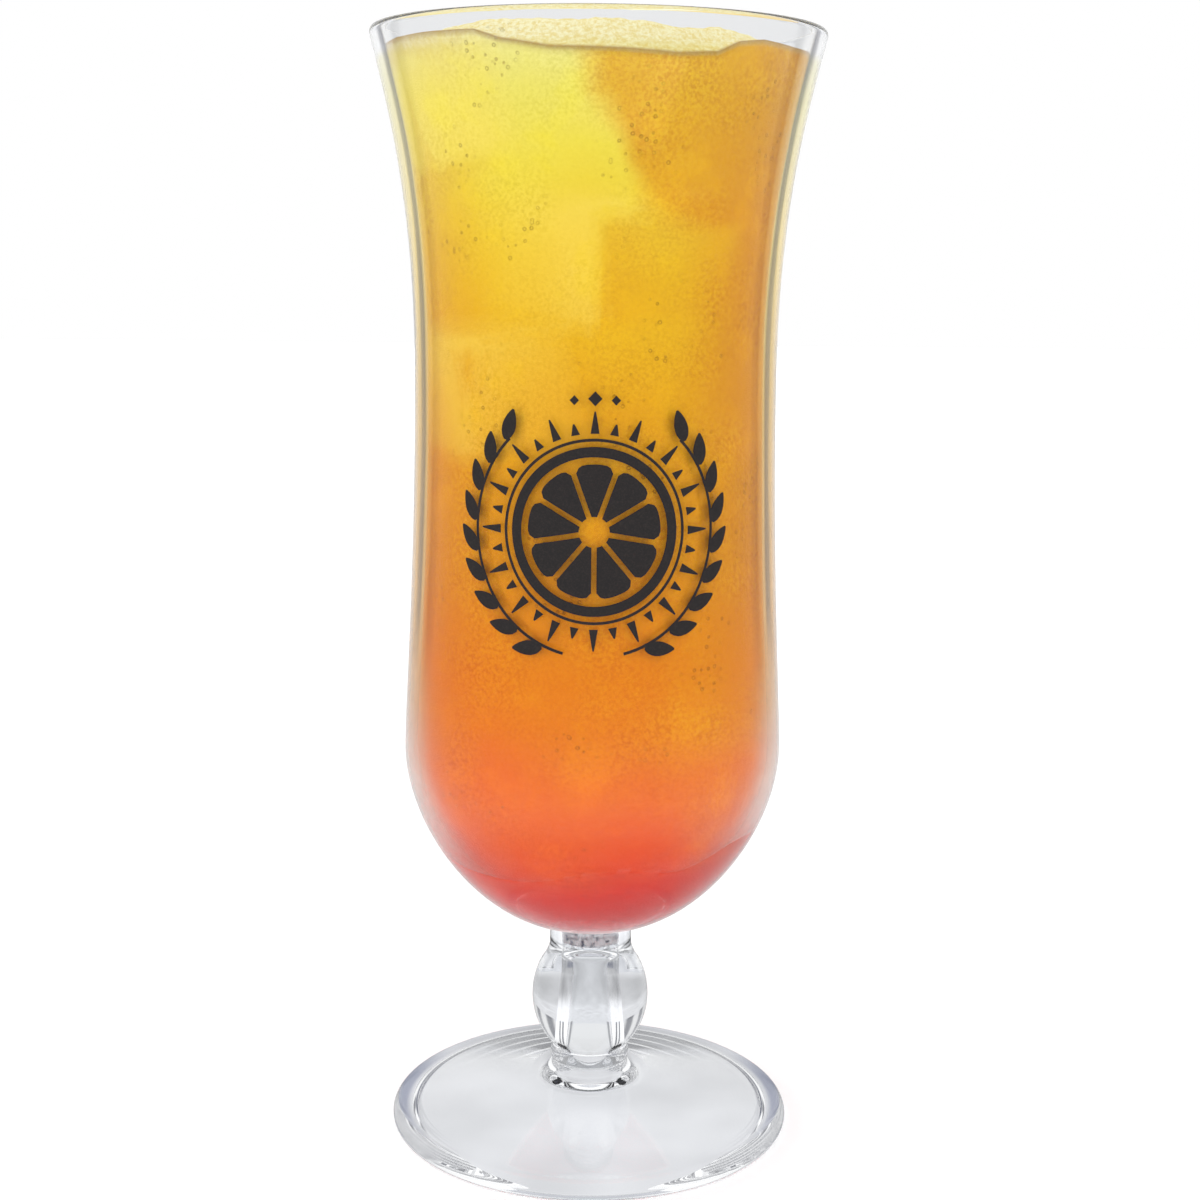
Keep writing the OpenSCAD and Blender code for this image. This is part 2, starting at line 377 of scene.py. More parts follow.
# Stem and foot
# A second clear moulding: ball knob, beaded neck and a wide shallow foot. It is thicker than the bowl, so
# it is cored from below, and the foot is hollow under its cone and stands on a narrow ring.
foot_r = 75.6 / 2 * mm
foot_edge_h = 3.4 * mm
foot_belly_h = 1.4 * mm
foot_edge_w = 2.6 * mm
foot_heel_w = 0.8 * mm
foot_rest_w = 3.4 * mm
foot_cone_h = 9.6 * mm
foot_fillet_r = 20 / 2 * mm
foot_web = 2.9 * mm
neck_r = 13.9 / 2 * mm
bead_r = 15 / 2 * mm
bead_z = 12.6 * mm
bead_half = 2.8 / 2 * mm
knob_r = 22.1 / 2 * mm
knob_half = 25.2 / 2 * mm
knob_z = 24.2 * mm
collar_fillet = 1.6 * mm
core_r = 8.8 / 2 * mm
core_top_r = 7.4 / 2 * mm
core_dome = 2.6 * mm
core_flare = 3 * mm
core_web = 1.3 * mm
fine_steps = 20
knob_steps = 80
heel_steps = 16
stem_pitch = 1.2 * mm
socket_r = spigot_r + cement
socket_floor_z = stem_top_z - spigot_h - cement


def fillet(a, b, c):
    """Points along a quadratic curve from a to c, drawn towards b."""
    t = np.linspace(0, 1, fine_steps + 1)[:, None]
    a, b, c = (np.array(p, float) for p in (a, b, c))
    return (1 - t) ** 2 * a + 2 * (1 - t) * t * b + t**2 * c


def along(points, pitch):
    """The same line with its long stretches cut into short ones."""
    made = [points[0]]
    for a, b in zip(points, points[1:]):
        steps = max(1, round(float(np.hypot(*(b - a))) / pitch))
        made += [a + (b - a) * (i + 1) / steps for i in range(steps)]
    return np.array(made)


bead_low_z = bead_z - bead_half
bead_high_z = bead_z + bead_half
cone_start_r = foot_r - foot_edge_w
knob_low_r = knob_r * math.sqrt(1 - ((knob_z - bead_high_z) / knob_half) ** 2)
fillet_low_r = collar_r + collar_fillet
knob_start = -math.degrees(math.acos(knob_low_r / knob_r))
knob_end = math.degrees(math.acos(fillet_low_r / knob_r))
collar_low_z = knob_z + knob_half * math.sqrt(1 - (collar_r / knob_r) ** 2)
fillet_start_z = knob_z + knob_half * math.sqrt(1 - (fillet_low_r / knob_r) ** 2)
foot_and_stem = joined(
    arc((foot_r - foot_heel_w, foot_belly_h), foot_heel_w, foot_belly_h, -90, 0, heel_steps),
    arc((cone_start_r, foot_belly_h), foot_edge_w, foot_edge_h - foot_belly_h, 0, 90, fine_steps),
    [(cone_start_r, foot_edge_h), (foot_fillet_r, foot_cone_h)],
    fillet((foot_fillet_r, foot_cone_h), (neck_r, (foot_cone_h + bead_low_z) / 2), (neck_r, bead_low_z)),
    arc((neck_r, bead_z), bead_r - neck_r, bead_half, -90, 90, fine_steps),
    arc((0, knob_z), knob_r, knob_half, knob_start, knob_end, knob_steps),
    fillet(
        (fillet_low_r, fillet_start_z),
        (collar_r, collar_low_z),
        (collar_r, collar_low_z + collar_fillet),
    ),
    [(collar_r, stem_top_z), (socket_r, stem_top_z), (socket_r, socket_floor_z), (0, socket_floor_z)],
)
core_top_z = socket_floor_z - core_web
hollow_r = foot_r - foot_heel_w - foot_rest_w
hollow_top_z = foot_cone_h - foot_web
cone_slope = (foot_cone_h - foot_edge_h) / (cone_start_r - foot_fillet_r)
hollow_edge_z = foot_edge_h + (cone_start_r - hollow_r) * cone_slope - foot_web
underside = joined(
    arc((0, core_top_z - core_dome), core_top_r, core_dome, 90, 0, fine_steps),
    fillet(
        (core_r, hollow_top_z + core_flare),
        (core_r, hollow_top_z),
        (core_r + core_flare, hollow_top_z),
    ),
    [(foot_fillet_r, hollow_top_z), (hollow_r - hollow_edge_z, hollow_edge_z), (hollow_r, 0)],
)
stem_line = along(np.vstack([underside, foot_and_stem]), stem_pitch)
stem = turned("stem_and_foot_moulding", stem_line, around_moulding)
dressed(stem, moulded_plastic("clear stem plastic", None), "clear_plastic", "stem_and_foot")


# Joint cement
# The film of clear cement between the two mouldings, squeezed out to the collar's edge, where it shows as
# a fine dark line. It holds tiny trapped bubbles, which show as dark specks round the joint.
def dried_cement():
    """Clear cement with dark specks and a dark edge at the top."""
    r = Recipe("dried cement")
    specks = r.span(r.cloud(0.9 * mm, 3.0, 0.7), 0.55, 0.62)
    squeezed = r.span(r.height(), stem_top_z - 0.1 * mm, stem_top_z)
    dark = r.maths("MAXIMUM", specks, squeezed)
    colour = r.blend(dark, srgb(240, 242, 248), srgb(52, 50, 84))
    cover = r.span(dark, 0, 1, 0.3, 0.95)
    return r.finish(Base_Color=colour, Roughness=0.3, IOR=1.5, Transmission_Weight=0.3, Alpha=cover)


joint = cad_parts["joint_cement"]
joint.data.materials.clear()
joint.data.materials.append(dried_cement())


# Ice
# Eight machine-made cubes, melted round at their edges and cloudy inside. The upper ones stand a little
# out of the drink; the others lie against the wall and show through the juice as pale faces, with painted
# highlight and shade by how each face turns to the key light.
ice_edge = 19 * mm
ice_ball = 0.71 * ice_edge
wet_gap = 0.12 * mm
ice_gap = 0.16 * mm
ice_compass_angles = (213, 303, 75, 280, 160, 40, 228, 350)
ice_depth_shares = (0.47, 0.36, 0.66, 1.74, 1.66, 1.95, 2.94, 3.17)
ice_tilts = (
    (9, -6, 38), (-14, 8, 12), (5, 4, 30), (7, 10, 24),
    (-8, 12, 50), (10, -7, 5), (12, 9, 40), (-9, 6, 20),
)
ice_cuts = 23
corner_power = 9
melted_share = 0.985
dish_share = 0.02


def ice_place(index):
    """Where a cube lies: its turn and its centre, as one matrix."""
    z = drink_z - ice_depth_shares[index] * ice_edge
    ring_r = inner_r(z) - ice_ball - wet_gap - 2 * ice_gap
    tilt = Euler([math.radians(a) for a in ice_tilts[index]], "XYZ").to_matrix().to_4x4()
    around = Matrix.Rotation(math.radians(ice_compass_angles[index]), 4, "Z")
    return around @ Matrix.Translation((ring_r, 0, z)) @ tilt


def melted_cube(name, place, seed):
    """A cube with round edges and a softly dished, uneven skin."""
    bm = bmesh.new()
    bmesh.ops.create_cube(bm, size=2)
    bmesh.ops.subdivide_edges(bm, edges=bm.edges, cuts=ice_cuts, use_grid_fill=True)
    for vert in bm.verts:
        way = vert.co.normalized()
        box = 1 / sum(abs(c) ** corner_power for c in way) ** (1 / corner_power)
        reach = min(ice_edge / 2 * box, melted_share * ice_ball)
        broad = noise.noise(way * 2.3 + Vector((seed, 0, 0)))
        fine = noise.noise(way * 5.1 + Vector((0, seed, 0)))
        vert.co = way * reach * (melted_share - dish_share * abs(broad + 0.5 * fine))
    for face in bm.faces:
        face.smooth = True
    mesh = bpy.data.meshes.new(name)
    bm.to_mesh(mesh)
    bm.free()
    mesh.transform(place)
    piece = bpy.data.objects.new(name, mesh)
    bpy.context.scene.collection.objects.link(piece)
    return piece


def wet_ice():
    """Ice that is cloudy in the middle, with a wet, slightly wavy skin."""
    r = Recipe("wet ice")
    core = r.span(r.cloud(6 * mm, 3.0, 0.6), 0.42, 0.62)
    colour = r.blend(core, srgb(246, 238, 176), srgb(247, 245, 216))
    rough = r.span(r.cloud(2.5 * mm, 2.0), 0.35, 0.65, 0.25, 0.5)
    skin = r.bump(r.cloud(4 * mm, 2.0), 0.08 * mm)
    return r.finish(Base_Color=colour, Roughness=rough, Normal=skin, IOR=1.31, Transmission_Weight=0.25)


ice_finish = wet_ice()
ice_places = [ice_place(index) for index in range(len(ice_compass_angles))]
for index, place in enumerate(ice_places):
    cube = melted_cube(f"ice_block_{index + 1}", place, 3.7 * index)
    dressed(cube, ice_finish, "ice", f"ice_cube_{index + 1}")


# Juice
# Cloudy orange juice, paler and more yellow round the melting ice above and deeper towards the bottom. The
# ice faces behind its skin carry painted highlight and shade. Its skin also carries painted shade at its
# sides and along its edge on the wall, a faint painted pale veil low down, and a painted white glow where it
# is seen mirrored or past more than two faces of plastic. Its edge creeps up the wall, its top is uneven
# from stirring, and fine bubbles cling to the wall all over.
syrup_z = floor_z + 13.4 * mm
around_drink = 384
wetting = 0.05 * mm
wet_border_z = 55 * mm
parting_h = 5 * mm


def beside_wall(gap):
    """The inner wall's line, moved a little way inwards."""
    way = np.gradient(inner_wall, axis=0)
    inward = np.stack([-way[:, 1], way[:, 0]], 1) / np.linalg.norm(way, axis=1)[:, None]
    line = inner_wall + inward * gap
    line[0, 0] = 0
    return line


film_line = beside_wall(wet_gap)
wetting_line = beside_wall(-wetting)


def drink_r(z, wander=0.0):
    """Radius of the drink's side at a height: it wets the round bottom, and a thin film parts them above."""
    parted = np.clip((z + wander - wet_border_z) / parting_h, 0, 1)
    film = np.interp(z, film_line[:, 1], film_line[:, 0])
    return film + (1 - parted) * (np.interp(z, wetting_line[:, 1], wetting_line[:, 0]) - film)


def drink_side(low_z, high_z, pitch):
    """Half outline of the drink's side between two heights."""
    heights = np.linspace(low_z, high_z, max(2, round((high_z - low_z) / pitch)) + 1)
    return np.stack([drink_r(heights), heights], 1)


key_light = np.array([-0.62, -0.35, 0.70])
looks = 14
skin_blur = 1.1 * mm
juice_depth = 9 * mm


def ice_through_juice(points):
    """How much ice shows through the juice at points of its skin: pale, with a painted highlight on faces
    turned to the key light and painted shade on faces turned away.
    """
    spin = random.Random(5)
    inward = -points * np.array([1, 1, 0])
    inward /= np.maximum(np.linalg.norm(inward, axis=1), 1e-9)[:, None]
    pale, shade = np.zeros(len(points)), np.zeros(len(points))
    for _ in range(looks):
        wander = np.array([spin.gauss(0, 1) for _ in range(3)])
        start = points + wander * skin_blur
        way = inward + 0.09 * np.array([spin.gauss(0, 1) for _ in range(3)])
        nearest = np.full(len(points), 1.0)
        light = np.zeros(len(points))
        for place in ice_places:
            back = np.array(place.inverted())
            o = start @ back[:3, :3].T + back[:3, 3]
            d = way @ back[:3, :3].T
            d = np.where(np.abs(d) < 1e-9, 1e-9, d)
            near = (-np.sign(d) * ice_edge / 2 - o) / d
            far = (np.sign(d) * ice_edge / 2 - o) / d
            enter, leave = near.max(1), far.min(1)
            hit = (enter < leave) & (enter > 0) & (enter < nearest)
            side = near.argmax(1)
            normal = np.zeros((len(points), 3))
            normal[np.arange(len(points)), side] = -np.sign(d[np.arange(len(points)), side])
            turned_normal = normal @ np.array(place)[:3, :3].T
            # Painted light: how each ice face turns to the key light.
            light = np.where(hit, turned_normal @ key_light, light)
            nearest = np.where(hit, enter, nearest)
        seen = np.where(nearest < 1, np.exp(-nearest / juice_depth), 0)
        pale += seen * np.clip(0.35 + 1.3 * light, 0, 1.4) / looks
        shade += seen * np.clip(0.45 - 1.4 * light, 0, 1) / looks
    return pale, shade


def mark_ice(piece):
    """Stores on the drink's skin what shows of the ice behind it, with its painted highlight and shade."""
    points = np.zeros(len(piece.data.vertices) * 3)
    piece.data.vertices.foreach_get("co", points)
    pale, shade = ice_through_juice(points.reshape(-1, 3))
    mark(piece, "ice_seen_and_lit", pale)
    mark(piece, "ice_shade", shade)


def bubble_rims(r):
    """Rims of the few bubbles that cling to the wall, in patches."""
    settings = {"Vector": r.place(), "Scale": 1 / (1.15 * mm), "Randomness": 1.0}
    cells = r.add("ShaderNodeTexVoronoi", settings).outputs
    away = cells["Distance"]
    rim = r.maths("MULTIPLY", r.span(away, 0.16, 0.22), r.span(away, 0.26, 0.34, 1, 0))
    few = r.span(r.add("ShaderNodeSeparateColor", {0: cells["Color"]}).outputs[0], 0.55, 0.6)
    patches = r.span(r.cloud(15 * mm, 2.0, 0.5, (1, 1, 0.8)), 0.54, 0.62)
    return r.maths("MULTIPLY", r.maths("MULTIPLY", rim, few), patches)


def drink_finish(name):
    """The layered drink: colour from the red bottom to the yellow top, soft clouds and fine bubbles."""
    r = Recipe(name)
    swirl = r.span(r.cloud(26 * mm, 2.5, 0.5), 0.3, 0.7, -1.0, 1.0)
    z = r.maths("ADD", r.height(), r.maths("MULTIPLY", swirl, 3.5 * mm))
    across = r.add("ShaderNodeSeparateXYZ", {0: r.place()}).outputs["X"]
    to_the_right = r.span(across, 0, 28 * mm, 0, 7 * mm)
    low_down = r.span(r.height(), 58 * mm, 84 * mm, 1, 0, True)
    up = r.span(r.maths("SUBTRACT", z, r.maths("MULTIPLY", to_the_right, low_down)), floor_z, rim_top_z)

    def at(height_mm):
        return (height_mm * mm - floor_z) / (rim_top_z - floor_z)

    left = r.ramp(up, [
        (at(42), srgb(216, 36, 22)),
        (at(52), srgb(230, 54, 28)),
        (at(60), srgb(236, 94, 40)),
        (at(74), srgb(236, 124, 32)),
        (at(92), srgb(243, 175, 34)),
        (at(112), srgb(238, 196, 32)),
        (at(135), srgb(240, 206, 36)),
        (at(158), srgb(242, 222, 44)),
        (at(180), srgb(244, 238, 112)),
        (at(197), srgb(238, 234, 160)),
    ])
    right = r.ramp(up, [
        (at(42), srgb(206, 52, 40)),
        (at(52), srgb(220, 80, 60)),
        (at(60), srgb(230, 118, 60)),
        (at(74), srgb(244, 148, 40)),
        (at(92), srgb(247, 201, 34)),
        (at(112), srgb(234, 202, 34)),
        (at(135), srgb(232, 198, 34)),
        (at(170), srgb(232, 182, 40)),
        (at(197), srgb(230, 186, 50)),
    ])
    start = r.span(z, 166 * mm, 190 * mm, 9 * mm, -5 * mm)
    width = r.span(z, 164 * mm, 178 * mm, 17 * mm, 7 * mm)
    wander = r.maths("MULTIPLY", swirl, 3 * mm)
    richer = r.maths("DIVIDE", r.maths("ADD", r.maths("SUBTRACT", across, start), wander), width)
    amber = r.span(richer, 0, 1, 0, 1, True)
    colour = r.blend(amber, left, right)
    # Painted shade: the juice is darkened towards orange at its left and right sides.
    side_shade = r.span(r.maths("ABSOLUTE", across), 13 * mm, 32 * mm, 0, 0.45, True)
    colour = r.blend(side_shade, colour, srgb(232, 164, 40), "MULTIPLY")
    # Painted shade where ice faces turn from the key light, and painted highlight where they turn to it.
    colour = r.blend(r.span(marked(r, "ice_shade"), 0.05, 0.5, 0, 0.35), colour, srgb(226, 168, 30))
    lit_facet = r.blend(amber, srgb(250, 240, 140), srgb(238, 188, 70))
    colour = r.blend(r.span(marked(r, "ice_seen_and_lit"), 0.08, 0.6, 0, 0.85), colour, lit_facet)
    patches = r.span(r.cloud(9 * mm, 3.0, 0.55), 0.52, 0.72, 0, 0.5)
    colour = r.blend(patches, colour, srgb(250, 232, 120), "SOFT_LIGHT")
    grain = r.cloud(0.6 * mm, 2.0, 0.7)
    grainy = r.span(r.cloud(13 * mm, 2.0), 0.38, 0.62, 0.15, 0.6)
    colour = r.blend(grainy, colour, r.ramp(grain, [(0.36, 0.36), (0.5, 0.5), (0.64, 0.66)]), "OVERLAY")
    colour = r.blend(grainy, colour, r.ramp(grain, [(0.38, 0.86), (0.5, 0.98), (0.6, 1.0)]), "MULTIPLY")
    spots = bubble_rims(r)
    colour = r.blend(r.maths("MULTIPLY", spots, 0.4), colour, srgb(150, 104, 24))
    speck = r.span(r.cloud(0.8 * mm, 3.0, 0.8), 0.38, 0.60)
    foam = r.blend(speck, srgb(208, 190, 122), srgb(219, 213, 172))
    colour = r.blend(marked(r, "froth"), colour, foam)
    # Painted light: a faint pale veil where the wall is wetted, most at the film's border.
    colour = r.blend(r.maths("MULTIPLY", marked(r, "painted_pale_veil"), 0.06), colour, (1.0, 1.0, 1.0))
    # Painted shade: a dark line along the juice's edge where it meets the wall.
    colour = r.blend(r.maths("MULTIPLY", marked(r, "edge_shade_line"), 0.65), colour, srgb(140, 92, 20))
    bumps = r.bump(grain, 0.12 * mm, 0.8, r.bump(spots, 0.15 * mm))
    # Painted glow: where the juice's upward skin is seen mirrored, or seen past more than two faces of
    # plastic, its colour gives way to a pale grey-white glow.
    normal = r.add("ShaderNodeNewGeometry").outputs["True Normal"]
    facing = r.add("ShaderNodeSeparateXYZ", {0: normal}).outputs["Z"]
    path = r.add("ShaderNodeLightPath").outputs
    mirrored = r.maths("MULTIPLY", path["Glossy Depth"], r.span(facing, 0.4, 0.6), clamp=True)
    mirrored = r.maths("MULTIPLY", mirrored, r.maths("SUBTRACT", 1.0, path["Diffuse Depth"], clamp=True))
    painted_white_glow = r.maths("MAXIMUM", mirrored, met_late(r, 2))
    r.material.cycles.emission_sampling = "NONE"
    return r.finish(
        Base_Color=r.blend(painted_white_glow, colour, (0.0, 0.0, 0.0)),
        Roughness=0.5,
        Normal=bumps,
        IOR=1.34,
        Specular_IOR_Level=0.0,
        Emission_Color=(0.80, 0.81, 0.86, 1),
        Emission_Strength=r.maths("MULTIPLY", painted_white_glow, 0.8),
    )


# How far the drink's edge climbs or sags on the wall, by the angle from the front to the right.
edge_lift = {
    -180: 0.4, -150: -0.8, -120: 0.6, -95: 0.2, -75: 1.8, -60: 2.6, -48: 2.5, -32: 2.1, -25: 0.5, -12: -1.0,
    6: -1.3, 20: -1.7, 31: -1.1, 37: 0.8, 45: 1.6, 68: 1.3, 85: -0.5, 120: 0.7, 150: -0.6, 180: 0.4,
}
right_rise = 3.5 * mm
wander_top_z = 72 * mm
veil_low_z = 44 * mm
veil_high_z = wet_border_z + 1.5 * mm
heap_h = 4.6 * mm
heap_inset = 4.5 * mm
heap_w = 3.2 * mm
heap_angle = 58
climb_w = 6 * mm
pull_w = 4 * mm
moved_h = 7 * mm
froth_h = 3.4 * mm
froth_angle = 56
froth_spread = 30
line_h = 0.7 * mm
no_line = 9 * mm


def wetting_wander(x, y):
    """How far the wetted part's border strays down, by the place round the bowl; it rises to the right."""
    rise = right_rise * max(0.0, x / belly_r)
    return noise.noise(Vector((x, y, 7 * mm)) / (16 * mm)) * 2.4 * mm - rise


def painted_pale_veil(x, y, z):
    """Painted pale veil of light on the drink where the wall is wetted: most at the film's border, none at
    the bottom.
    """
    border_z = veil_high_z - wetting_wander(x, y)
    return 0.0 if z > border_z else max(0.0, (z - veil_low_z) / (border_z - veil_low_z))


def stirred(x, y):
    """Height of the drink's top, and how much slush is heaped there, a little behind the front wall."""
    front = math.degrees(math.atan2(x, -y))
    lift = float(np.interp(front, list(edge_lift), list(edge_lift.values()))) * mm
    from_wall = drink_r(drink_z) - math.hypot(x, y)
    wave = noise.noise(Vector((x, y, 0)) / (7 * mm)) * 0.5 * mm
    fine = noise.noise(Vector((x, y, 3 * mm)) / (1.3 * mm)) * 0.25 * mm
    in_front = max(0.0, 1 - abs(front / heap_angle) ** 2.5)
    heap = in_front * math.exp(-((from_wall - heap_inset) / heap_w) ** 2)
    top = drink_z + lift * math.exp(-from_wall / climb_w) + heap * heap_h
    if from_wall > 0.5 * mm:
        top += wave + fine
    return min(top, rim_top_z - 1.2 * mm), heap


def mark_painted_veil(piece):
    """Stores on the drink's skin the painted pale veil of light where the wall is wetted."""
    mark(piece, "painted_pale_veil", [painted_pale_veil(*vert.co) for vert in piece.data.vertices])


def scaled(vert, share):
    """Moves a point of the drink's skin out from the axis or in to it."""
    vert.co.x *= share
    vert.co.y *= share


syrup_top = (float(drink_r(syrup_z)), syrup_z)
side = drink_side(syrup_z, drink_z, 0.8 * mm)
top_rings = [(side[-1][0] * k, drink_z) for k in np.linspace(1, 0, 75)[1:]]
juice = turned("juice_body", joined([(0, syrup_z), syrup_top], side, top_rings), around_drink)
edge_r = side[-1][0]
froth, edge_shade_line = [], []
for vert in juice.data.vertices:
    x, y, z = vert.co
    reach = math.hypot(x, y)
    left_side = max(0.0, 1 - ((math.degrees(math.atan2(x, -y)) + froth_angle) / froth_spread) ** 2)
    below, foam = no_line, 0.0
    if z > drink_z - 0.001 * mm:
        vert.co.z, heap = stirred(x, y)
        if reach > 1 * mm:
            edge_z = stirred(x / reach * edge_r, y / reach * edge_r)[0]
            scaled(vert, 1 + (drink_r(edge_z) / edge_r - 1) * math.exp((reach - edge_r) / pull_w))
        below = 0.0 if reach > edge_r - 0.4 * mm else no_line
        foam = min(1.0, 0.7 + 1.6 * heap)
    elif z > drink_z - moved_h:
        wall_top = stirred(x / reach * edge_r, y / reach * edge_r)[0]
        vert.co.z = z + (1 - (drink_z - z) / moved_h) * (wall_top - drink_z)
        scaled(vert, drink_r(vert.co.z) / reach)
        below = wall_top - vert.co.z
        foam = 0.9 * left_side * math.exp(-below / froth_h)
    elif syrup_z + 0.5 * mm < z < wander_top_z and reach > 5 * mm:
        scaled(vert, drink_r(z, wetting_wander(x, y)) / reach)
    froth.append(foam)
    # Painted shade along the juice's edge line on the wall.
    edge_shade_line.append(math.exp(-((below / line_h) ** 2)))
mark(juice, "froth", froth)
mark(juice, "edge_shade_line", edge_shade_line)
mark_ice(juice)
mark_painted_veil(juice)
dressed(juice, drink_finish("juice"), "juice", "juice")


# Syrup
# Red syrup, heavier than the juice, which has run down and filled the round bottom of the bowl. The two
# have no sharp border: the syrup bleeds up into the juice.
syrup_side = wetting_line[wetting_line[:, 1] < syrup_z - 0.1 * mm]
syrup = turned("syrup_layer", joined(syrup_side, [syrup_top, (0, syrup_z)]), around_drink)
mark_ice(syrup)
mark_painted_veil(syrup)
dressed(syrup, drink_finish("syrup"), "syrup", "syrup")


# Print
# A one-colour screen print on the outside of the bowl: a plain emblem with a citrus wheel in a ring of rays
# and a leafy twig to each side. The ink is a thin black film that lies on the wall, cured hard.
print_z = 118.3 * mm
ink_low = 0.01 * mm
ink_high = 0.06 * mm
ring_low, ring_high = 12.6, 14.3
line_low, line_high = 15.2, 15.7
segments = 9
segment_low, segment_high = 2.6, 11.4
segment_gap_low, segment_gap_high = 0.45, 0.5
segment_round = 1.1
rays = 32
ray_low, ray_short, ray_long = 16.5, 18.4, 20.2
ray_widths = [0.75, 0.6, 0.45, 0.3, 0.12]
twig_r = 21.3
twig_half_share = 0.012
leaves = 9
leaf_low = 21.7
leaf_turn = 62
leaf_length = 5.4
leaf_half_w = 1.25
diamonds_r = 22.3
diamonds_pitch = 9


def on_the_bowl(u, v, lift):
    """A place on the bowl's front, from its place in the flat print in millimetres."""
    z = print_z + v * mm
    wall_r = float(np.interp(z, bowl_outer[:, 1], bowl_outer[:, 0]))
    angle = u * mm / wall_r
    return ((wall_r + lift) * math.sin(angle), -(wall_r + lift) * math.cos(angle), z)


def polar(r, degrees):
    """A place in the flat print, from its distance and direction from the middle."""
    return np.array([r * math.cos(math.radians(degrees)), r * math.sin(math.radians(degrees))])


def inked(bm, low, high, closed=False):
    """A film of ink between two edge lines with the same number of points, given in the flat print."""
    low, high = np.array(low), np.array(high)
    across = max(2, math.ceil(np.linalg.norm(high - low, axis=1).max() / 1.0))
    shares = np.linspace(0, 1, across + 1)
    sheets = []
    for lift in (ink_low, ink_high):
        rows = []
        for a, b in zip(low, high):
            rows.append([bm.verts.new(on_the_bowl(*(a + (b - a) * t), lift)) for t in shares])
        sheets.append(rows)
    count = len(low)
    for i in range(count if closed else count - 1):
        j = (i + 1) % count
        for rows in sheets:
            for k in range(across):
                bm.faces.new([rows[i][k], rows[j][k], rows[j][k + 1], rows[i][k + 1]])
        for k in (0, across):
            bm.faces.new([sheets[0][i][k], sheets[0][j][k], sheets[1][j][k], sheets[1][i][k]])
    if not closed:
        for i in (0, count - 1):
            for k in range(across):
                corners = [sheets[0][i][k], sheets[0][i][k + 1], sheets[1][i][k + 1], sheets[1][i][k]]
                bm.faces.new(corners)


def ring(bm, low_r, high_r):
    """A flat ring of ink."""
    turns = np.linspace(0, 360, 144, endpoint=False)
    inked(bm, [polar(low_r, t) for t in turns], [polar(high_r, t) for t in turns], True)


def tapered(bm, start, end, widths):
    """A straight stroke whose half width runs through the given values."""
    way = (end - start) / np.linalg.norm(end - start)
    side = np.array([-way[1], way[0]])
    shares = np.linspace(0, 1, len(widths))
    middle = [start + (end - start) * t for t in shares]
    low = [m - side * w for m, w in zip(middle, widths)]
    high = [m + side * w for m, w in zip(middle, widths)]
    inked(bm, low, high)


def leaf(bm, root, degrees):
    """A pointed leaf from its stalk's end."""
    shares = np.linspace(0.02, 0.98, 9)
    widths = [leaf_half_w * math.sin(math.pi * t**0.8) ** 0.8 + 0.04 for t in shares]
    tapered(bm, root, root + polar(leaf_length, degrees), widths)


bm = bmesh.new()
ring(bm, ring_low, ring_high)
ring(bm, line_low, line_high)
half_segment = 180 / segments
low_turn = half_segment - math.degrees(segment_gap_low / segment_low)
high_turn = half_segment - math.degrees(segment_gap_high / segment_high)
for index in range(segments):
    middle = 90 + 2 * half_segment * index
    turns = np.linspace(-1, 1, 11)
    low = [polar(segment_low, middle + t * low_turn) for t in turns]
    high = [polar(segment_high - segment_round * t**6, middle + t * high_turn) for t in turns]
    inked(bm, low, high)
for index in range(rays):
    tip = ray_long if index % 2 == 0 else ray_short
    way = 360 / rays * index
    tapered(bm, polar(ray_low, way), polar(tip, way), ray_widths)
for side in (-1, 1):
    twig = [polar(twig_r, 90 - side * (90 - t)) for t in np.linspace(-76, 46, 40)]
    inked(bm, [p * (1 - twig_half_share) for p in twig], [p * (1 + twig_half_share) for p in twig])
    for t in np.linspace(-66, 44, leaves):
        root = polar(leaf_low, 90 - side * (90 - t))
        leaf(bm, root, 90 - side * (90 - t - leaf_turn))
for index in (-1, 0, 1):
    centre = polar(diamonds_r, 90 + diamonds_pitch * index)
    size = 1.2 if index == 0 else 0.8
    tapered(bm, centre - (0, size), centre + (0, size), [0.05, 0.5 * size, size, 0.5 * size, 0.05])
bmesh.ops.recalc_face_normals(bm, faces=bm.faces)
print_mesh = bpy.data.meshes.new("front_print")
bm.to_mesh(print_mesh)
bm.free()
front_print = bpy.data.objects.new("front_print", print_mesh)
bpy.context.scene.collection.objects.link(front_print)


def cured_ink():
    """Black screen ink with the faint marks of the screen's mesh."""
    r = Recipe("cured black ink")
    mesh_marks = r.cloud(0.3 * mm, 2.0, 0.6)
    colour = r.blend(r.span(mesh_marks, 0.45, 0.75, 0, 0.5), srgb(34, 29, 30), srgb(62, 52, 46))
    rough = r.span(r.cloud(5 * mm, 2.0), 0.3, 0.7, 0.38, 0.55)
    return r.finish(Base_Color=colour, Roughness=rough, Normal=r.bump(mesh_marks, 0.01 * mm), IOR=1.5)


front_print.data.materials.append(cured_ink())
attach(front_print, "root")


# Studio
# A plain pale floor and a white room. Two narrow dark panels behind the glass are seen only through the
# plastic, where they draw its edges, as they do in a photographer's light tent. Seen through the plastic,
# the floor glows instead with painted grey shade, a darker painted ring round the foot and a painted navy
# shadow under the foot's rim at the sides.
floor_mesh = bpy.data.meshes.new("floor")
half = 3.0
below = -0.15 * mm
corners = [(-half, -half, below), (half, -half, below), (half, half, below), (-half, half, below)]
floor_mesh.from_pydata(corners, [], [(0, 1, 2, 3)])
floor = bpy.data.objects.new("floor", floor_mesh)
bpy.context.scene.collection.objects.link(floor)


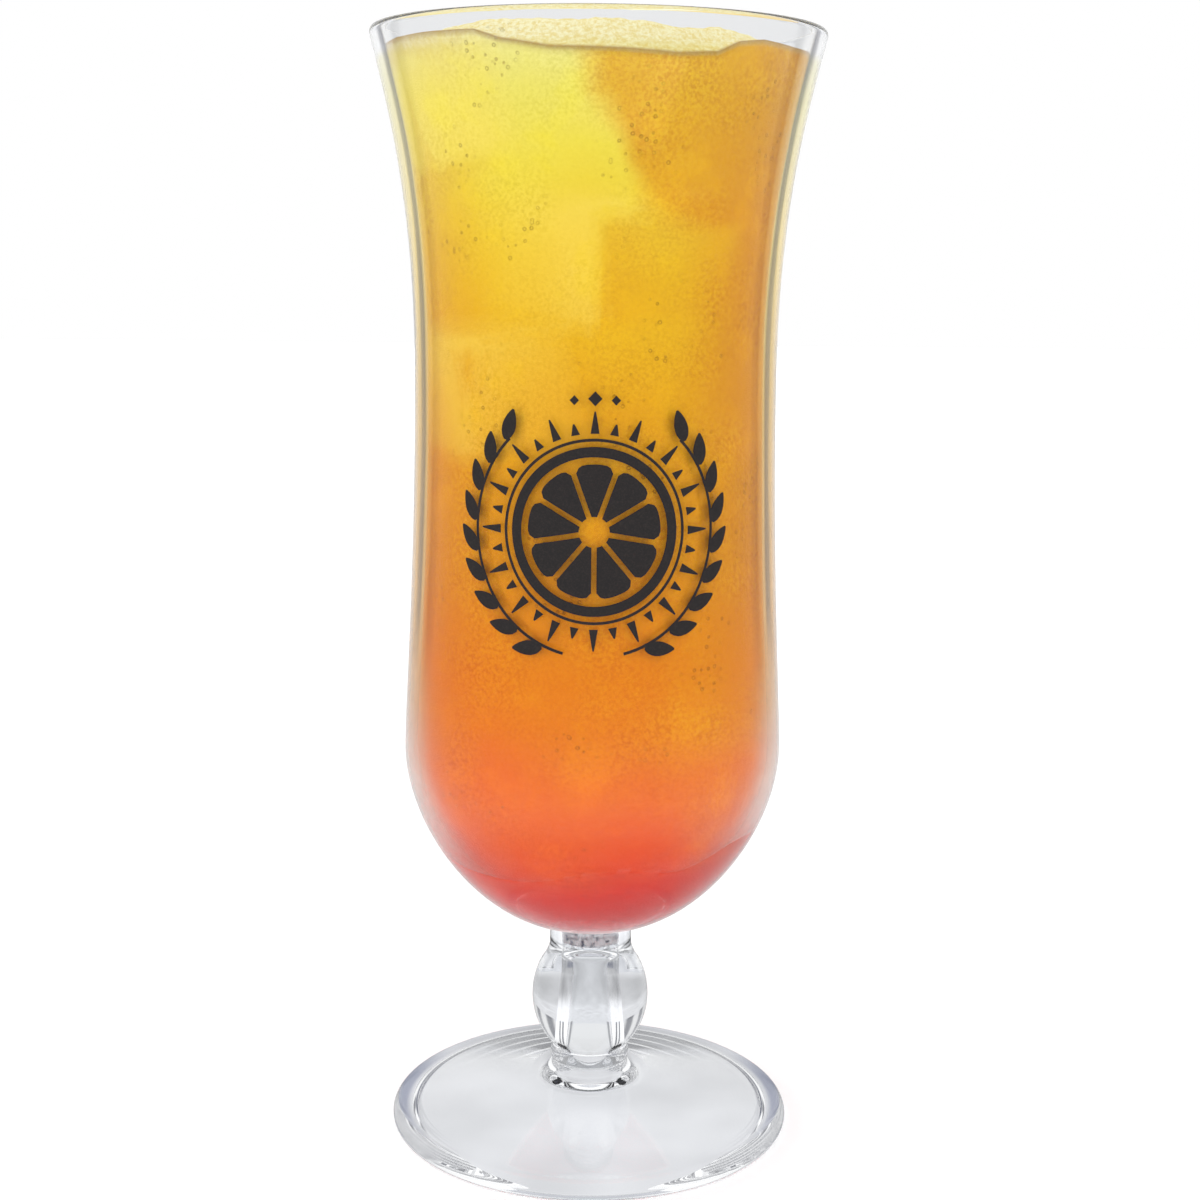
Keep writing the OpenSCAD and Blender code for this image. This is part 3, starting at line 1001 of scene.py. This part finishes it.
def dark_sides(r, x, y):
    """1 where a panel stands, by the compass angle of x and y: half way between the back and each side."""
    angle = r.maths("ARCTAN2", x, y)
    folded = r.maths("PINGPONG", angle, math.radians(45))
    rise = r.span(folded, math.radians(27), math.radians(33), 0, 1, True)
    fall = r.span(folded, math.radians(37), math.radians(42), 1, 0, True)
    behind = r.maths("GREATER_THAN", y, 0.0)
    return r.maths("MULTIPLY", r.maths("MULTIPLY", rise, fall), behind)


def sight(r):
    """1 for each: what lights the piece, is seen through plastic, is seen first, is mirrored within."""
    path = r.add("ShaderNodeLightPath").outputs
    lights = r.maths("MINIMUM", path["Diffuse Depth"], 1.0)
    passed = r.maths("MINIMUM", path["Transmission Depth"], 1.0)
    through = r.maths("MULTIPLY", passed, r.maths("SUBTRACT", 1.0, lights))
    inside = r.maths("MULTIPLY", through, r.maths("MINIMUM", path["Glossy Depth"], 1.0))
    return lights, through, path["Is Camera Ray"], inside


panel_grey = (0.26, 0.265, 0.29, 1)
through_white = 0.86
mirrored_white = 0.28
inside_white = 0.3
r = Recipe("pale floor")
where = r.add("ShaderNodeSeparateXYZ", {0: r.place()}).outputs
reach = r.maths("SQRT", r.maths("ADD", r.maths("POWER", where["X"], 2), r.maths("POWER", where["Y"], 2)))


def floor_ring(rise_start, rise_end, fall_start, fall_end):
    """1 on a soft ring of the floor round the foot, from its distances in millimetres."""
    rise = r.span(reach, rise_start * mm, rise_end * mm, 0, 1, True)
    fall = r.span(reach, fall_start * mm, fall_end * mm, 1, 0, True)
    return r.maths("MULTIPLY", rise, fall)


lights, through, direct, inside = sight(r)
# Painted shade: seen through the plastic, the floor shows soft grey clouds and a darker ring round the foot.
clouds = r.span(r.cloud(30 * mm, 2.0), 0.35, 0.65, 0.74, 0.90)
turn = r.maths("PINGPONG", r.maths("ARCTAN2", where["X"], where["Y"]), math.radians(45))
deep = r.span(turn, math.radians(8), math.radians(40), 0.18, 0.30, True)
ring_shade = r.maths("MULTIPLY", floor_ring(40, 50, 75, 120), deep)
grey_shade = r.maths("MULTIPLY", clouds, r.maths("SUBTRACT", 1.0, ring_shade))
to_the_side = r.maths("DIVIDE", r.maths("ABSOLUTE", where["X"]), reach)
# Painted shadow: a navy ring just under the foot's rim at its left and right, seen through the plastic.
rim_shadow = r.span(to_the_side, 0.76, 0.98, 0.12, 0.8, True)
rim_shadow = r.maths("MULTIPLY", floor_ring(33.5, 35.5, 38.5, 41), rim_shadow)
far_off = r.span(reach, 420 * mm, 600 * mm, 0, 1, True)
sides = r.maths("MULTIPLY", dark_sides(r, where["X"], where["Y"]), far_off)
seen = r.blend(rim_shadow, (0.965, 0.972, 1.0), (0.24, 0.27, 0.42))
seen = r.blend(sides, seen, panel_grey[:3])
strength = r.maths("MULTIPLY", through, r.maths("SUBTRACT", grey_shade, mirrored_white))
strength = r.maths("ADD", strength, mirrored_white)
# Painted shade and light for the floor seen mirrored inside the plastic: darker under the foot, lighter
# further off.
under_foot_shade = r.span(reach, 38 * mm, 46 * mm, -0.3, 0, True)
inside_shade_and_light = r.maths("ADD", under_foot_shade, r.span(reach, 60 * mm, 90 * mm, -0.12, inside_white, True))
strength = r.maths("ADD", strength, r.maths("MULTIPLY", inside, inside_shade_and_light))
paper = r.add("ShaderNodeBsdfDiffuse", {"Color": (0.93, 0.93, 0.935, 1)})
glow = r.add("ShaderNodeEmission", {"Color": seen, "Strength": strength})
lit = r.maths("MAXIMUM", lights, direct)
mixed = r.add("ShaderNodeMixShader", {0: lit, 1: glow.outputs[0], 2: paper.outputs[0]})
r.add("ShaderNodeOutputMaterial", {"Surface": mixed.outputs[0]})
floor.data.materials.append(r.material)

world = bpy.data.worlds.new("studio")
bpy.context.scene.world = world
world.use_nodes = True
r = Recipe("studio", world.node_tree)
toward = r.add("ShaderNodeTexCoord").outputs["Generated"]
way = r.add("ShaderNodeSeparateXYZ", {0: toward}).outputs
low = r.span(way["Z"], 0.45, 0.8, 1, 0, True)
lights, through, direct, inside = sight(r)
dark = r.maths("MULTIPLY", r.maths("MULTIPLY", dark_sides(r, way["X"], way["Y"]), low), through)
key_way = (-0.55, -0.45, 0.70)
key = r.add("ShaderNodeVectorMath", {0: toward, 1: key_way}, operation="DOT_PRODUCT").outputs["Value"]
soft = r.span(key, -1, 1, 1.0, 1.7)
seen = r.maths("ADD", mirrored_white, r.maths("MULTIPLY", direct, 1 - mirrored_white))
seen = r.maths("ADD", seen, r.maths("MULTIPLY", through, through_white - mirrored_white))
seen = r.maths("ADD", seen, r.maths("MULTIPLY", inside, inside_white))
plain = r.add("ShaderNodeMix", {0: lights, 2: seen, 3: soft}).outputs[0]
white = r.add("ShaderNodeBackground", {"Color": (1, 1, 1, 1), "Strength": plain})
panel = r.add("ShaderNodeBackground", {"Color": panel_grey})
mixed = r.add("ShaderNodeMixShader", {0: dark, 1: white.outputs[0], 2: panel.outputs[0]})
r.add("ShaderNodeOutputWorld", {"Surface": mixed.outputs[0]})

camera_data = bpy.data.cameras.new("camera")
camera_data.lens = 59.0
camera_data.clip_start = 0.01
camera = bpy.data.objects.new("camera", camera_data)
bpy.context.scene.collection.objects.link(camera)
bpy.context.scene.camera = camera
down = math.radians(10.2)
aside = math.radians(0.19)
roll = math.radians(0.55)
camera.location = (0, -0.3593, 0.1655)
ahead = Vector((math.sin(aside) * math.cos(down), math.cos(aside) * math.cos(down), -math.sin(down)))
camera.rotation_mode = "QUATERNION"
camera.rotation_quaternion = ahead.to_track_quat("-Z", "Y") @ Quaternion((0, 0, 1), roll)

scene = bpy.context.scene
scene.view_settings.view_transform = "Standard"
scene.cycles.use_denoising = True
scene.cycles.max_bounces = 48
scene.cycles.transmission_bounces = 48
scene.cycles.glossy_bounces = 48
scene.cycles.diffuse_bounces = 4
scene.cycles.sample_clamp_indirect = 4
scene.cycles.blur_glossy = 0.2
